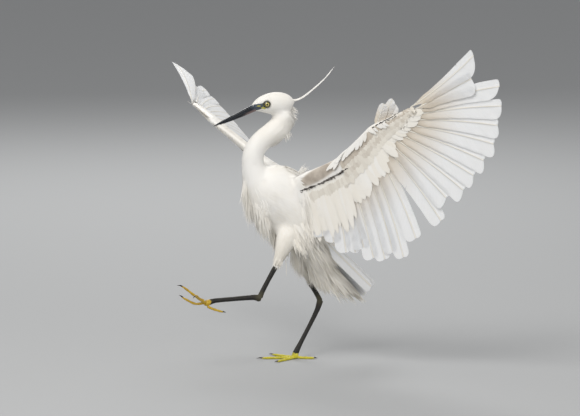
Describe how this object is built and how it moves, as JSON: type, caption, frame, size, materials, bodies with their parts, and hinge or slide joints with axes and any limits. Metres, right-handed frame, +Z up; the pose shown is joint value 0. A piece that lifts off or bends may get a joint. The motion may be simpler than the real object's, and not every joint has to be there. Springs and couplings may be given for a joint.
{
  "type": "little egret",
  "caption": "White wading bird striding on one leg, both wings thrown up and spread, slender black bill, long black legs with yellow toes.",
  "frame": {"origin": "on the floor, under the middle of the whole bird's box", "axes": "+Z up; the bird faces -X; its left side is -Y"},
  "size_m": [0.4802, 0.7336, 0.5596],
  "materials": {
    "body_feathers": "soft matt feathers",
    "flight_feathers": "smooth matt feathers",
    "plumes": "fine loose feathers",
    "bill_horn": "satin horn",
    "leg_scales": "satin scales",
    "toe_scales": "satin scales",
    "eye": "wet gloss"
  },
  "bodies": {
    "root": {"bill_lower": "bill_horn", "bill_upper": "bill_horn", "breast_plumes": "plumes", "eye_left": "eye", "eye_right": "eye", "head": "body_feathers", "left_alula": "flight_feathers", "left_forearm": "body_feathers", "left_hand": "body_feathers", "left_primaries": "flight_feathers", "left_secondaries": "flight_feathers", "left_shank": "leg_scales", "left_tarsus": "leg_scales", "left_tertials": "flight_feathers", "left_thigh": "body_feathers", "left_toe_hind": "toe_scales", "left_toe_inner": "toe_scales", "left_toe_middle": "toe_scales", "left_toe_outer": "toe_scales", "left_upper_arm": "body_feathers", "nape_plume": "plumes", "neck_lower": "body_feathers", "neck_middle": "body_feathers", "neck_upper": "body_feathers", "right_alula": "flight_feathers", "right_forearm": "body_feathers", "right_hand": "body_feathers", "right_primaries": "flight_feathers", "right_secondaries": "flight_feathers", "right_shank": "leg_scales", "right_tarsus": "leg_scales", "right_tertials": "flight_feathers", "right_thigh": "body_feathers", "right_toe_hind": "toe_scales", "right_toe_inner": "toe_scales", "right_toe_middle": "toe_scales", "right_toe_outer": "toe_scales", "right_upper_arm": "body_feathers", "tail": "flight_feathers", "tail_coverts": "body_feathers", "trunk": "body_feathers"}
  },
  "joints": []
}
